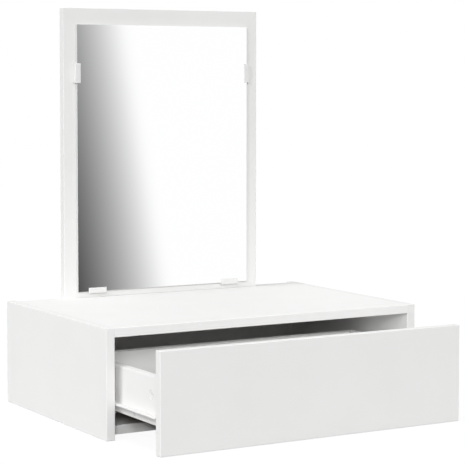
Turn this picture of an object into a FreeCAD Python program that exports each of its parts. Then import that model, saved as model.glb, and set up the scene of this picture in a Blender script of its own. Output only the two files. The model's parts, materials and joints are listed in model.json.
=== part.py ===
# Wall-hung dressing table: a shallow cabinet with one drawer on roller runners, and a mirror board on top.
# Millimetres. +X runs to the right, +Y to the wall, +Z up. The origin is under the middle of the table
# as it stands with its drawer open, at the height of the side panels' lower edges.
import FreeCAD
import Part
import Sketcher
import os
import re

Vector = FreeCAD.Vector

SIZES = (
    # cabinet
    ("cabinet_width", 600, "over the side panels"),
    ("cabinet_depth", 400, "depth of the side panels"),
    ("cabinet_height", 180, "height of the side panels"),
    ("board", 15, "thickness of the coated boards"),
    ("edge_bevel", 0.6, "bevel on the edged corners of a board"),
    ("back_recess", 12, "from the side panels' rear edges in to the back panel"),
    ("bottom_setback", 42, "from the side panels' front edges in to the bottom panel"),
    ("wall_hole_diameter", 6, "holes for the wall screws"),
    ("wall_hole_inset", 85, "wall holes from the ends of the back panel"),
    ("wall_hole_edge", 40, "wall holes from the back panel's upper and lower edges"),
    # mirror
    ("mirror_board_width", 400, "board that carries the mirror"),
    ("mirror_board_height", 520, "above the cabinet"),
    ("glass_margin", 24, "board showing at each side of the glass"),
    ("glass_top_margin", 29, "board showing above the glass"),
    ("glass_lift", 11, "from the cabinet top up to the glass"),
    ("glass_thickness", 6, "silvered sheet"),
    ("glass_arris", 0.5, "bevel on the edges of the glass"),
    ("glass_play", 0.5, "between the glass and each side clip"),
    ("clip_length", 35, "along the edge of the glass"),
    ("clip_base", 3, "wall of a clip beside the edge of the glass"),
    ("clip_lip", 7, "lip of a clip over the face of the glass"),
    ("clip_lip_wall", 2, "thickness of the lip"),
    ("clip_lip_gap", 0.3, "between the lip and the glass"),
    ("clip_leg", 20, "leg of a clip let into the board behind the glass, from its outer face"),
    ("clip_leg_wall", 2, "thickness of the leg"),
    ("clip_play", 0.2, "between a clip and the recess in the board"),
    ("clip_round", 0.6, "radius on the front of a clip"),
    ("side_clip_drop", 87, "from the top of the glass down to the middle of a side clip"),
    ("lower_clip_inset", 38.5, "from the side of the glass in to the middle of a lower clip"),
    ("clip_screw_inset", 12, "screw from the outer face of its clip"),
    ("clip_screw_diameter", 3, "shank"),
    ("clip_screw_length", 10, "under the head"),
    ("clip_screw_head_diameter", 6, "head"),
    ("clip_screw_head", 1.1, "thickness of the head"),
    # drawer
    ("drawer_open", 150, "how far the drawer stands open"),
    ("front_gap", 2, "beside and above the drawer front"),
    ("front_foot_gap", 1, "from the side panels' lower edges up to the drawer front"),
    ("drawer_board", 15, "thickness of the drawer's sides and back"),
    ("drawer_length", 290, "length of the drawer's sides"),
    ("drawer_side_height", 74, "height of the drawer's sides and back"),
    ("drawer_lift", 28.5, "from the bottom panel up to the drawer's sides"),
    ("drawer_sheet", 3, "thickness of the drawer's bottom"),
    ("groove_rise", 8.5, "from the lower edge of the drawer's sides up to the groove"),
    ("groove_depth", 5, "groove for the drawer's bottom"),
    ("groove_play", 0.5, "between the bottom's edges and the floors of its grooves"),
    ("groove_slack", 0.2, "above the bottom in its grooves"),
    ("back_screw_edge", 20, "drawer back's screws from the sides' upper and lower edges"),
    ("back_screw_diameter", 5, "shank"),
    ("back_screw_length", 37, "under the head"),
    ("back_screw_head_diameter", 9, "head"),
    ("back_screw_head", 3, "thickness of the head"),
    # runners
    ("runner_space", 12.5, "between a drawer side and a side panel"),
    ("runner_length", 250, "both members"),
    ("runner_setback", 2, "behind the drawer front"),
    ("runner_gauge", 1, "thickness of the steel"),
    ("bend_radius", 0.5, "inside of the bends"),
    ("rail_height", 16, "drawer member, foot to flange"),
    ("rail_foot", 10, "drawer member's foot under the drawer side"),
    ("rail_side_gap", 1, "between the drawer member and the cabinet member's floor"),
    ("rail_edge_gap", 1, "between the drawer member's flange and the web of the cabinet member"),
    ("rail_lip", 2.8, "drawer member's lip, down from the top of its flange"),
    ("rail_lip_gap", 0.3, "between that lip and the front roller"),
    ("lip_width", 6, "cabinet member's upper lip"),
    ("lip_clearance", 2, "between the drawer member and that lip"),
    ("lip_entry", 40, "front of the cabinet member with no lip, where the drawer's roller goes in"),
    ("stop_height", 6, "turned-up stop at the rear of the cabinet member"),
    ("roller_diameter", 15, "tread"),
    ("roller_bevel", 0.8, "bevel on the edges of the tread"),
    ("roller_gap", 0.3, "between a roller and its track"),
    ("roller_end_gap", 0.3, "at each face of a roller"),
    ("floor_clearance", 0.7, "under the front rollers"),
    ("front_roller_setback", 14, "from the front of the cabinet member"),
    ("rear_roller_setback", 10, "from the rear of the drawer member"),
    ("pin_diameter", 4, "roller pins"),
    ("pin_play", 0.05, "between a pin and its roller, on the radius"),
    ("pin_head_diameter", 7, "head"),
    ("pin_head", 0.8, "thickness of the head"),
    ("pass_gap", 0.9, "between a pin's head and the screw heads that pass it"),
    ("runner_screw_diameter", 3.5, "shank"),
    ("runner_screw_length", 12, "under the head"),
    ("runner_screw_head_diameter", 7, "head"),
    ("runner_screw_head", 1.2, "thickness of the head"),
    ("runner_screw_rise", 8, "screws above the drawer member's underside"),
    ("channel_screw_front", 40, "from the front of the cabinet member"),
    ("channel_screw_middle", 120, "from the front of the cabinet member"),
    ("channel_screw_rear", 30, "from the rear of the cabinet member"),
    ("rail_screw_front", 14, "from the front of the drawer member"),
    ("rail_screw_middle", 87, "from the front of the drawer member"),
    ("rail_screw_rear", 35, "from the rear of the drawer member"),
    # joints between the boards
    ("screw_play", 0.05, "between a screw or bolt and the board that it bites, on the radius"),
    ("screw_tip_gap", 0.5, "past the tip of a screw"),
    ("cam_diameter", 15, "cam locks"),
    ("cam_play", 0.1, "between a cam and its pocket, on the radius"),
    ("cam_floor", 2.5, "board left under a cam"),
    ("cam_recess", 0.3, "cam below the face of its board"),
    ("cam_distance", 34, "from the joint to the middle of the cam"),
    ("cam_slot_past", 2, "cam's slot past its middle"),
    ("bolt_diameter", 6, "cam bolts"),
    ("bolt_play", 0.5, "between a bolt and the bore that it passes through, on the radius"),
    ("bolt_floor", 4, "board left under the thread of a bolt"),
    ("dowel_diameter", 8, "wooden dowels"),
    ("dowel_play", 0.1, "between a dowel and its hole, on the radius"),
    ("dowel_floor", 5, "board left under a dowel"),
    ("dowel_edge_depth", 20, "dowel in the edge of a board"),
    ("dowel_end_gap", 0.8, "past the end of a dowel"),
    ("joint_inset", 50, "cams of the top and bottom panels from their front and rear edges"),
    ("dowel_step", 32, "from a cam bolt along to its dowel"),
    ("back_cam_edge", 35, "cams of the back panel from its upper edge and from the bottom panel"),
    ("back_dowel_inset", 65, "dowels of the back panel from its ends"),
    ("mirror_cam_inset", 70, "cams of the mirror board from its sides"),
    ("mirror_dowel_inset", 38, "dowels of the mirror board from its sides"),
    ("drawer_cam_rise", 45.5, "drawer's cams from the lower edge of its sides"),
    ("drawer_dowel_rise", 24.5, "drawer's dowels from the lower edge of its sides"),
)

doc = FreeCAD.newDocument("dressing_table")
sizes = doc.addObject("Spreadsheet::Sheet", "sizes")
for row, (name, millimetres, meaning) in enumerate(SIZES, start=1):
    sizes.set(f"A{row}", meaning)
    sizes.set(f"B{row}", str(millimetres))
    sizes.setAlias(f"B{row}", name)
doc.recompute()
NAMES = {name for name, millimetres, meaning in SIZES}


# Formulas and placing

def tie(formula):
    """Point each size's name in a formula at its cell in the sheet."""
    return re.sub("[a-z_]+", lambda word: f"sizes.{word[0]}" if word[0] in NAMES else word[0], formula)


def value(formula):
    """Work a formula out as it stands now, for a sketch's first geometry."""
    return float(sizes.evalExpression(tie(formula)))


def bind(thing, **formulas):
    for name, formula in formulas.items():
        thing.setExpression(name, tie(formula))


def place(thing, point, turn=FreeCAD.Rotation()):
    """Turn a thing, and keep its origin at a point that is given by three formulas."""
    thing.Placement = FreeCAD.Placement(Vector(), turn)
    for axis, formula in zip("xyz", point):
        thing.setExpression(f"Placement.Base.{axis}", tie(formula))


def shifted(point, direction, distance):
    """The point moved along an axis direction by a formula."""
    signs = {1: "+", -1: "-"}
    return tuple(
        f"({start} {signs[way]} ({distance}))" if way else start
        for start, way in zip(point, (round(step) for step in direction))
    )


half_width = "(cabinet_width / 2)"
inner_half = "(cabinet_width / 2 - board)"
inner_width = "(cabinet_width - 2 * board)"
front_y = "((drawer_open - cabinet_depth) / 2)"
rear_y = f"({front_y} + cabinet_depth - back_recess)"
top_z = "(cabinet_height - board)"
board_middle = "(board / 2)"

drawer_y = f"({front_y} - drawer_open)"
box_y = f"({drawer_y} + board)"
box_half = f"({inner_half} - runner_space)"
box_inner_half = f"({box_half} - drawer_board)"
box_rear_y = f"({box_y} + drawer_length)"
box_z = "(board + drawer_lift)"


# Boards, and what is cut in them

# each face of a board: its outward normal, the plane of its sketches, and whether a cut there is reversed
FACES = {
    "left": (Vector(-1, 0, 0), "YZ_Plane", True),
    "right": (Vector(1, 0, 0), "YZ_Plane", False),
    "front": (Vector(0, -1, 0), "XZ_Plane", False),
    "back": (Vector(0, 1, 0), "XZ_Plane", True),
    "under": (Vector(0, 0, -1), "XY_Plane", True),
    "over": (Vector(0, 0, 1), "XY_Plane", False),
}
# in each plane: the two axes that a sketch shows, the axis that it looks along, and the sign of its normal
PLANES = {"YZ_Plane": (1, 2, 0, ""), "XZ_Plane": (0, 2, 1, "-"), "XY_Plane": (0, 1, 2, "")}
blanks = {}
subparts = []


def body_for(label, corner, size):
    """An empty body whose own origin is the low corner of its piece."""
    body = doc.addObject("PartDesign::Body", label)
    place(body, corner)
    blanks[label] = (body, corner, size)
    subparts.append(body)
    return body


def dress(body, feature, name, kind, wanted, **size):
    """Fillet or chamfer the edges of a feature that a test picks."""
    doc.recompute()
    dressed = body.newObject(f"PartDesign::{kind}", f"{body.Name}_{name}")
    edges = enumerate(feature.Shape.Edges, start=1)
    dressed.Base = (feature, [f"Edge{number}" for number, edge in edges if wanted(edge)])
    bind(dressed, **size)
    return dressed


def runs_along(edge, axes):
    direction = edge.tangentAt(edge.FirstParameter)
    return any(round(abs(getattr(direction, axis))) for axis in axes)


def board(label, corner, size, eased="", bevel="edge_bevel", square_foot=False):
    """A board by its low corner and its size, with the edges that run along the eased axes bevelled."""
    body = body_for(label, corner, size)
    block = body.newObject("PartDesign::AdditiveBox", f"{label}_block")
    bind(block, Length=size[0], Width=size[1], Height=size[2])

    def wanted(edge):
        at_foot = edge.BoundBox.ZMax < value(bevel)
        return runs_along(edge, eased) and not (square_foot and at_foot)

    if eased:
        dress(body, block, "eased", "Chamfer", wanted, Size=bevel)


def sketch_on(body, plane, name):
    sketch = body.newObject("Sketcher::SketchObject", f"{body.Name}_{name}_sketch")
    support = [feature for feature in body.Origin.OriginFeatures if feature.Role == plane]
    sketch.AttachmentSupport = (support[0], [""])
    sketch.MapMode = "FlatFace"
    return sketch


def pin_point(sketch, geometry, end, across, up):
    """Hold a point of a sketch at two formulas measured from the sketch's origin."""
    for kind, formula, axis in (("DistanceX", across, -2), ("DistanceY", up, -1)):
        if formula == "0":
            sketch.addConstraint(Sketcher.Constraint("PointOnObject", geometry, end, axis))
        else:
            rule = sketch.addConstraint(Sketcher.Constraint(kind, -1, 1, geometry, end, value(formula)))
            sketch.setExpression(f"Constraints[{rule}]", tie(formula))


def add_circle(sketch, across, up, diameter):
    middle = Vector(value(across), value(up), 0)
    circle = sketch.addGeometry(Part.Circle(middle, Vector(0, 0, 1), value(diameter) / 2))
    pin_point(sketch, circle, 3, across, up)
    rule = sketch.addConstraint(Sketcher.Constraint("Diameter", circle, value(diameter)))
    sketch.setExpression(f"Constraints[{rule}]", tie(diameter))


def add_outline(sketch, points):
    """A closed outline of straight lines through points given by formulas."""
    corners = [Vector(value(across), value(up), 0) for across, up in points]
    lines = [
        sketch.addGeometry(Part.LineSegment(start, end))
        for start, end in zip(corners, corners[1:] + corners[:1])
    ]
    for line, following in zip(lines, lines[1:] + lines[:1]):
        sketch.addConstraint(Sketcher.Constraint("Coincident", line, 2, following, 1))
    for line, (across, up) in zip(lines, points):
        pin_point(sketch, line, 1, across, up)


def face_sketch(label, face, name):
    """A sketch on a face of a blank, and a function from points of the table to places in that sketch."""
    body, corner, size = blanks[label]
    normal, plane, reverse = FACES[face]
    first, second, looked, side = PLANES[plane]
    sketch = sketch_on(body, plane, f"{face}_{name}")
    if max(normal, key=abs) > 0:
        sketch.setExpression("AttachmentOffset.Base.z", tie(f"{side}({size[looked]})"))

    def seen(point):
        return [
            "0" if point[axis] == corner[axis] else f"{point[axis]} - ({corner[axis]})"
            for axis in (first, second)
        ]

    return sketch, seen


def cut(label, face, name, sketch, depth):
    pocket = blanks[label][0].newObject("PartDesign::Pocket", f"{label}_{face}_{name}")
    pocket.Profile = sketch
    pocket.Reversed = FACES[face][2]
    bind(pocket, Length=depth)


def drill(label, face, name, spots, diameter, depth):
    """Round holes of one size in a face, at points of the table."""
    sketch, seen = face_sketch(label, face, name)
    for spot in spots:
        add_circle(sketch, *seen(spot), diameter)
    cut(label, face, name, sketch, depth)


def recess(label, face, name, low, high, depth):
    """A rectangular pocket or groove in a face, between two points of the table."""
    sketch, seen = face_sketch(label, face, name)
    left, lower = seen(low)
    right, upper = seen(high)
    add_outline(sketch, [(left, lower), (right, lower), (right, upper), (left, upper)])
    cut(label, face, name, sketch, depth)


def mirror_copy(label, original):
    """The right-hand twin of a left-hand piece."""
    twin = doc.addObject("Part::Mirroring", label)
    twin.Source = doc.getObject(original)
    twin.Base = Vector(0, 0, 0)
    twin.Normal = Vector(1, 0, 0)
    subparts.append(twin)


# Fasteners: one is built, and the rest are linked to it

def turned(label, *steps):
    """A round piece on its own Z axis, from steps of diameter, start and length."""
    body = doc.addObject("PartDesign::Body", label)
    for number, (diameter, start, length) in enumerate(steps):
        step = body.newObject("PartDesign::AdditiveCylinder", f"{label}_step_{number}")
        bind(step, Radius=f"({diameter}) / 2", Height=length)
        step.setExpression("Placement.Base.z", tie(start))
    return body


def screw(label, diameter, length, head_diameter, head):
    """A screw that points along its own Z axis, with the underside of its head at its origin."""
    return turned(label, (head_diameter, f"-{head}", head), (diameter, "0", length))


def fill(label, piece, seats):
    """A node of separate, equal pieces: each seat is a point and a turn."""
    copies = [piece]
    for seat in seats[1:]:
        copy = doc.addObject("App::Link", f"{piece.Name}_copy")
        copy.LinkedObject = piece
        copies.append(copy)
    for copy, (point, turn) in zip(copies, seats):
        place(copy, point, turn)
    group = doc.addObject("Part::Compound", label)
    group.Links = copies
    subparts.append(group)


def facing(direction):
    return FreeCAD.Rotation(Vector(0, 0, 1), direction)


def cam_lock(label, thickness):
    """A cam that stands on its pocket's floor, facing up its own Z axis, with its bolt coming along X."""
    body = turned(label, ("cam_diameter", "0", f"{thickness} - cam_floor - cam_recess"))
    slot = body.newObject("PartDesign::SubtractiveBox", f"{label}_slot")
    slot_width = "(bolt_diameter + 2 * bolt_play)"
    bind(slot, Length="cam_diameter / 2 + cam_slot_past", Width=slot_width, Height=slot_width)
    place(slot, ("-cam_diameter / 2", f"-{slot_width} / 2", f"({thickness} - {slot_width}) / 2 - cam_floor"))
    return body


cams = {"cabinet": [], "drawer": []}
bolts = {"cabinet": [], "drawer": []}
dowels = {"cabinet": [], "drawer": []}


def cam_joint(unit, edge, edge_face, cam_face, thickness, spots, face=None, side=None):
    """Cam locks in the edge of one board and their bolts in the face of another, at points on the joint."""
    inward = -FACES[edge_face][0]
    outward = FACES[cam_face][0]
    middles = [shifted(spot, inward, "cam_distance") for spot in spots]
    name = f"cams_{len(bolts[unit])}"
    drill(edge, cam_face, name, middles, "cam_diameter + 2 * cam_play", f"{thickness} - cam_floor")
    drill(edge, edge_face, name, spots, "bolt_diameter + 2 * bolt_play", "cam_distance")
    if face:
        drill(face, side, name, spots, "bolt_diameter + 2 * screw_play",
              "board - bolt_floor + screw_tip_gap")
    turn = FreeCAD.Rotation(inward, outward.cross(inward), outward, "ZXY")
    for spot, middle in zip(spots, middles):
        cams[unit].append((shifted(middle, outward, f"cam_floor - {thickness} / 2"), turn))
        bolts[unit].append((shifted(spot, inward, "bolt_floor - board"), facing(inward)))


def dowel_joint(unit, edge, edge_face, spots, face=None, side=None):
    """Dowels from the edge of one board into the face of another, at points on the joint."""
    inward = -FACES[edge_face][0]
    hole = "dowel_diameter + 2 * dowel_play"
    name = f"dowels_{len(dowels[unit])}"
    drill(edge, edge_face, name, spots, hole, "dowel_edge_depth + dowel_end_gap")
    if face:
        drill(face, side, name, spots, hole, "board - dowel_floor")
    for spot in spots:
        dowels[unit].append((shifted(spot, inward, "dowel_floor - board"), facing(inward)))


# Cabinet boards

board("left_side_panel", (f"-{half_width}", front_y, "0"),
      ("board", "cabinet_depth", "cabinet_height"), "xyz")
board("top_panel", (f"-{inner_half}", front_y, top_z),
      (inner_width, "cabinet_depth - back_recess", "board"), "x")
board("bottom_panel", (f"-{inner_half}", f"({front_y} + bottom_setback)", "0"),
      (inner_width, "cabinet_depth - back_recess - board - bottom_setback", "board"), "x")
board("back_panel", (f"-{inner_half}", f"({rear_y} - board)", "0"), (inner_width, "board", top_z), "x")
board("mirror_board", ("-mirror_board_width / 2", f"({rear_y} - board)", "cabinet_height"),
      ("mirror_board_width", "board", "mirror_board_height"), "xyz", square_foot=True)

top_middle_z = f"({top_z} + {board_middle})"
back_middle_y = f"({rear_y} - {board_middle})"
bottom_front_y = f"({front_y} + bottom_setback)"
bottom_rear_y = f"({rear_y} - board)"
side_joints = (("left", f"-{inner_half}", "left_side_panel", "right"), ("right", inner_half, None, None))
for end, joint_x, panel, side in side_joints:
    for shelf, cam_face, first_y, last_y, middle_z in (
            ("top_panel", "under", front_y, rear_y, top_middle_z),
            ("bottom_panel", "under", bottom_front_y, bottom_rear_y, board_middle)):
        cam_spots = [(joint_x, depth_y, middle_z)
                     for depth_y in (f"({first_y} + joint_inset)", f"({last_y} - joint_inset)")]
        cam_joint("cabinet", shelf, end, cam_face, "board", cam_spots, panel, side)
        dowel_spots = [shifted(cam_spots[0], Vector(0, 1, 0), "dowel_step")]
        dowel_joint("cabinet", shelf, end, dowel_spots, panel, side)
    back_low_z = "(board + back_cam_edge)"
    back_high_z = f"({top_z} - back_cam_edge)"
    cam_joint("cabinet", "back_panel", end, "back", "board",
              [(joint_x, back_middle_y, back_low_z), (joint_x, back_middle_y, back_high_z)], panel, side)

back_dowel_x = f"({inner_half} - back_dowel_inset)"
dowel_joint("cabinet", "back_panel", "over",
            [(f"{way}{back_dowel_x}", back_middle_y, top_z) for way in ("-", "")], "top_panel", "under")
dowel_joint("cabinet", "bottom_panel", "back",
            [(f"{way}{back_dowel_x}", bottom_rear_y, board_middle) for way in ("-", "")],
            "back_panel", "front")

mirror_half = "(mirror_board_width / 2)"
mirror_cam_x = f"({mirror_half} - mirror_cam_inset)"
mirror_dowel_x = f"({mirror_half} - mirror_dowel_inset)"
cam_joint("cabinet", "mirror_board", "under", "back", "board",
          [(f"{way}{mirror_cam_x}", back_middle_y, "cabinet_height") for way in ("-", "")],
          "top_panel", "over")
dowel_joint("cabinet", "mirror_board", "under",
            [(f"{way}{mirror_dowel_x}", back_middle_y, "cabinet_height") for way in ("-", "")],
            "top_panel", "over")

wall_x = f"({inner_half} - wall_hole_inset)"
wall_spots = [
    (f"{way}{wall_x}", rear_y, height)
    for way in ("-", "")
    for height in (f"({top_z} - wall_hole_edge)", "(board + wall_hole_edge)")
]
drill("back_panel", "back", "wall_holes", wall_spots, "wall_hole_diameter", "board")


# Mirror: the glass stands in lower clips and is kept flat by side clips, whose legs are let into the board

glass_half = "(mirror_board_width / 2 - glass_margin)"
glass_z = "(cabinet_height + glass_lift)"
glass_height = "(mirror_board_height - glass_lift - glass_top_margin)"
board_front_y = f"({rear_y} - board)"
board("mirror_glass", (f"-{glass_half}", f"({board_front_y} - glass_thickness)", glass_z),
      (f"2 * {glass_half}", "glass_thickness", glass_height), "xyz", "glass_arris")

clip_slot_end = "(clip_lip_wall + clip_lip_gap + glass_thickness)"
clip_depth = f"({clip_slot_end} + clip_leg_wall)"
clip_front_y = f"({board_front_y} + clip_leg_wall - {clip_depth})"
clip_screw_hole = "clip_screw_diameter + 2 * screw_play"
clip_screw_seats = []


def clip(label, corner, turn):
    """A clip hooked over an edge of the glass: lip in front, leg behind, run along its own Z axis."""
    size = ("clip_leg", clip_depth, "clip_length")
    body = body_for(label, corner, size)
    place(body, corner, turn)
    sketch = sketch_on(body, "XY_Plane", "section")
    lip_end = "clip_base + clip_lip"
    add_outline(sketch, [
        ("0", "0"), (lip_end, "0"), (lip_end, "clip_lip_wall"), ("clip_base", "clip_lip_wall"),
        ("clip_base", clip_slot_end), ("clip_leg", clip_slot_end), ("clip_leg", clip_depth),
        ("0", clip_depth),
    ])
    run = body.newObject("PartDesign::Pad", f"{label}_run")
    run.Profile = sketch
    bind(run, Length="clip_length")
    lip_middle = value("clip_lip_wall / 2")
    dress(body, run, "front", "Fillet", lambda edge: edge.BoundBox.YMax < lip_middle, Radius="clip_round")
    for name, diameter, depth in (("shank", "clip_screw_diameter", "clip_leg_wall"),
                                  ("head", "clip_screw_head_diameter", "clip_screw_head")):
        hole = body.newObject("PartDesign::SubtractiveCylinder", f"{label}_{name}_hole")
        bind(hole, Radius=f"{diameter} / 2 + screw_play", Height=depth)
        place(hole, ("clip_screw_inset", clip_slot_end, "clip_length / 2"), facing(Vector(0, 1, 0)))


def clip_seat(name, low, high, screw_spot):
    """The recess for a clip's leg in the mirror board, and the hole for its screw."""
    recess("mirror_board", "front", f"{name}_recess", low, high, "clip_leg_wall")
    drill("mirror_board", "front", f"{name}_screw", [screw_spot], clip_screw_hole,
          "clip_screw_head + clip_screw_length + screw_tip_gap")
    inward = Vector(0, 1, 0)
    clip_screw_seats.append((shifted(screw_spot, inward, "clip_screw_head"), facing(inward)))


side_clip_x = f"({glass_half} + glass_play + clip_base)"
side_clip_z = f"({glass_z} + {glass_height} - side_clip_drop)"
side_clip_low = f"({side_clip_z} - clip_length / 2)"
lower_clip_x = f"({glass_half} - lower_clip_inset)"
lower_clip_z = f"({glass_z} - clip_base)"
clip("left_mirror_clip", (f"-{side_clip_x}", clip_front_y, side_clip_low), FreeCAD.Rotation())
clip("lower_left_mirror_clip", (f"(clip_length / 2 - {lower_clip_x})", clip_front_y, lower_clip_z),
     FreeCAD.Rotation(Vector(0, 0, 1), Vector(0, 1, 0), Vector(-1, 0, 0), "ZXY"))
mirror_copy("right_mirror_clip", "left_mirror_clip")
mirror_copy("lower_right_mirror_clip", "lower_left_mirror_clip")

clip_half_room = "(clip_length / 2 + clip_play)"
lower_recess_low = f"({lower_clip_z} - clip_play)"
lower_recess_high = f"({lower_clip_z} + clip_leg + clip_play)"
for hand, way, near, far in (("left", "-", "+", "-"), ("right", "", "-", "+")):
    outer_x = f"({way}{side_clip_x} {far} clip_play)"
    inner_x = f"({way}{side_clip_x} {near} clip_leg {near} clip_play)"
    low_x, high_x = (outer_x, inner_x) if hand == "left" else (inner_x, outer_x)
    clip_seat(f"{hand}_clip",
              (low_x, board_front_y, f"({side_clip_z} - {clip_half_room})"),
              (high_x, board_front_y, f"({side_clip_z} + {clip_half_room})"),
              (f"({way}{side_clip_x} {near} clip_screw_inset)", board_front_y, side_clip_z))
    clip_seat(f"lower_{hand}_clip",
              (f"({way}{lower_clip_x} - {clip_half_room})", board_front_y, lower_recess_low),
              (f"({way}{lower_clip_x} + {clip_half_room})", board_front_y, lower_recess_high),
              (f"{way}{lower_clip_x}", board_front_y, f"({lower_clip_z} + clip_screw_inset)"))
clip_screw = screw("clip_screw", "clip_screw_diameter", "clip_screw_length", "clip_screw_head_diameter",
                   "clip_screw_head")
fill("clip_screws", clip_screw, clip_screw_seats)


# Drawer: a front that hangs below its box as a finger pull, and a box with a grooved-in bottom

board("drawer_front", (f"(front_gap - {inner_half})", drawer_y, "front_foot_gap"),
      (f"{inner_width} - 2 * front_gap", "board", f"{top_z} - front_gap - front_foot_gap"), "xyz")
board("drawer_left_side", (f"-{box_half}", box_y, box_z),
      ("drawer_board", "drawer_length", "drawer_side_height"), "y")
board("drawer_back", (f"-{box_inner_half}", f"({box_rear_y} - drawer_board)", box_z),
      (f"2 * {box_inner_half}", "drawer_board", "drawer_side_height"), "x")

groove_reach = "(groove_depth - groove_play)"
groove_z = f"({box_z} + groove_rise)"
groove_top = f"({groove_z} + drawer_sheet + groove_slack)"
sheet_half = f"({box_inner_half} + {groove_reach})"
board("drawer_bottom", (f"-{sheet_half}", f"({box_y} - {groove_reach})", groove_z),
      (f"2 * {sheet_half}", f"drawer_length - drawer_board + 2 * {groove_reach}", "drawer_sheet"))
recess("drawer_left_side", "right", "groove", (f"-{box_inner_half}", box_y, groove_z),
       (f"-{box_inner_half}", box_rear_y, groove_top), "groove_depth")
recess("drawer_back", "front", "groove", (f"-{box_inner_half}", f"({box_rear_y} - drawer_board)", groove_z),
       (box_inner_half, f"({box_rear_y} - drawer_board)", groove_top), "groove_depth")
recess("drawer_front", "back", "groove", (f"(-{box_inner_half} - groove_depth)", box_y, groove_z),
       (f"({box_inner_half} + groove_depth)", box_y, groove_top), "groove_depth")

side_middle_x = f"({box_half} - drawer_board / 2)"
drawer_cam_z = f"({box_z} + drawer_cam_rise)"
drawer_dowel_z = f"({box_z} + drawer_dowel_rise)"
cam_joint("drawer", "drawer_left_side", "front", "left", "drawer_board",
          [(f"-{side_middle_x}", box_y, drawer_cam_z)], "drawer_front", "back")
dowel_joint("drawer", "drawer_left_side", "front",
            [(f"-{side_middle_x}", box_y, drawer_dowel_z)], "drawer_front", "back")

# the right side is the left one's twin, so only the front is drilled for it
drill("drawer_front", "back", "right_bolt", [(side_middle_x, box_y, drawer_cam_z)],
      "bolt_diameter + 2 * screw_play", "board - bolt_floor + screw_tip_gap")
drill("drawer_front", "back", "right_dowel", [(side_middle_x, box_y, drawer_dowel_z)],
      "dowel_diameter + 2 * dowel_play", "board - dowel_floor")
into_drawer = Vector(0, 1, 0)
right_cam_turn = FreeCAD.Rotation(into_drawer, Vector(1, 0, 0).cross(into_drawer), Vector(1, 0, 0), "ZXY")
right_cam_x = f"({box_half} - drawer_board + cam_floor)"
right_bolt_y = f"({box_y} + bolt_floor - board)"
right_dowel_y = f"({box_y} + dowel_floor - board)"
cams["drawer"].append(((right_cam_x, f"({box_y} + cam_distance)", drawer_cam_z), right_cam_turn))
bolts["drawer"].append(((side_middle_x, right_bolt_y, drawer_cam_z), facing(into_drawer)))
dowels["drawer"].append(((side_middle_x, right_dowel_y, drawer_dowel_z), facing(into_drawer)))

back_screw_y = f"({box_rear_y} - drawer_board / 2)"
back_screw_heights = (f"({box_z} + back_screw_edge)", f"({box_z} + drawer_side_height - back_screw_edge)")
back_screw_hole = "back_screw_diameter + 2 * screw_play"
back_screw_seats = []
for hand, way, inward in (("left", "-", Vector(1, 0, 0)), ("right", "", Vector(-1, 0, 0))):
    outer_spots = [(f"{way}{box_half}", back_screw_y, height) for height in back_screw_heights]
    joint_spots = [shifted(spot, inward, "drawer_board") for spot in outer_spots]
    drill("drawer_back", hand, "screws", joint_spots, back_screw_hole,
          "back_screw_head + back_screw_length - drawer_board + screw_tip_gap")
    back_screw_seats += [(shifted(spot, inward, "back_screw_head"), facing(inward)) for spot in outer_spots]
    if hand == "left":
        drill("drawer_left_side", hand, "screws", outer_spots, back_screw_hole, "drawer_board")
        drill("drawer_left_side", hand, "screw_heads", outer_spots,
              "back_screw_head_diameter + 2 * screw_play", "back_screw_head")
back_screw = screw("back_screw", "back_screw_diameter", "back_screw_length", "back_screw_head_diameter",
                   "back_screw_head")
fill("drawer_back_screws", back_screw, back_screw_seats)


# Roller runners: a channel on each side panel with a roller at its front, a rail on each drawer side with
# a roller at its rear. The rail's flange rides on the front roller, with its lip turned down outside it,
# and the rear roller runs on the channel's floor.

rail_y = f"({box_y} + runner_setback)"
rail_z = f"({box_z} - runner_gauge)"
rail_flange = "(runner_space - runner_gauge - rail_edge_gap)"
rail_flange_under = f"({rail_z} + rail_height - runner_gauge)"
roller_radius = "(roller_diameter / 2)"
front_roller_z = f"({rail_flange_under} - roller_gap - {roller_radius})"
floor_z = f"({front_roller_z} - {roller_radius} - floor_clearance)"
rear_roller_z = f"({floor_z} + roller_gap + {roller_radius})"
channel_y = f"({front_y} + board + runner_setback)"
channel_z = f"({floor_z} - runner_gauge)"
channel_floor = "(runner_space - runner_gauge - rail_side_gap)"
channel_height = f"({rail_z} + rail_height + lip_clearance + runner_gauge - {channel_z})"
pin_shoulder = "(rail_edge_gap + runner_gauge + rail_lip_gap - roller_end_gap)"
roller_width = (f"(runner_space - 2 * runner_gauge - {pin_shoulder} - 2 * roller_end_gap"
                " - pin_head - runner_screw_head - pass_gap)")
screw_z = f"({rail_z} + runner_screw_rise)"
front_roller_y = f"({channel_y} + front_roller_setback)"
rear_roller_y = f"({rail_y} + runner_length - rear_roller_setback)"


def folded(label, corner, width, height, section, outer_bends, inner_bends):
    """A folded steel profile run along Y, by its section and the corners of the section that are bends."""
    body = body_for(label, corner, (width, "runner_length", height))
    sketch = sketch_on(body, "XZ_Plane", "section")
    add_outline(sketch, section)
    run = body.newObject("PartDesign::Pad", f"{label}_run")
    run.Profile = sketch
    run.Reversed = True
    bind(run, Length="runner_length")
    feature = run
    for name, radius, bends in (("outer_bends", "bend_radius + runner_gauge", outer_bends),
                                ("inner_bends", "bend_radius", inner_bends)):
        places = [Vector(value(across), value("runner_length / 2"), value(up)) for across, up in bends]
        reach = value("bend_radius / 2")
        feature = dress(body, feature, name, "Fillet",
                        lambda edge: any(edge.CenterOfMass.distanceToPoint(spot) < reach for spot in places),
                        Radius=radius)
    return body


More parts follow.
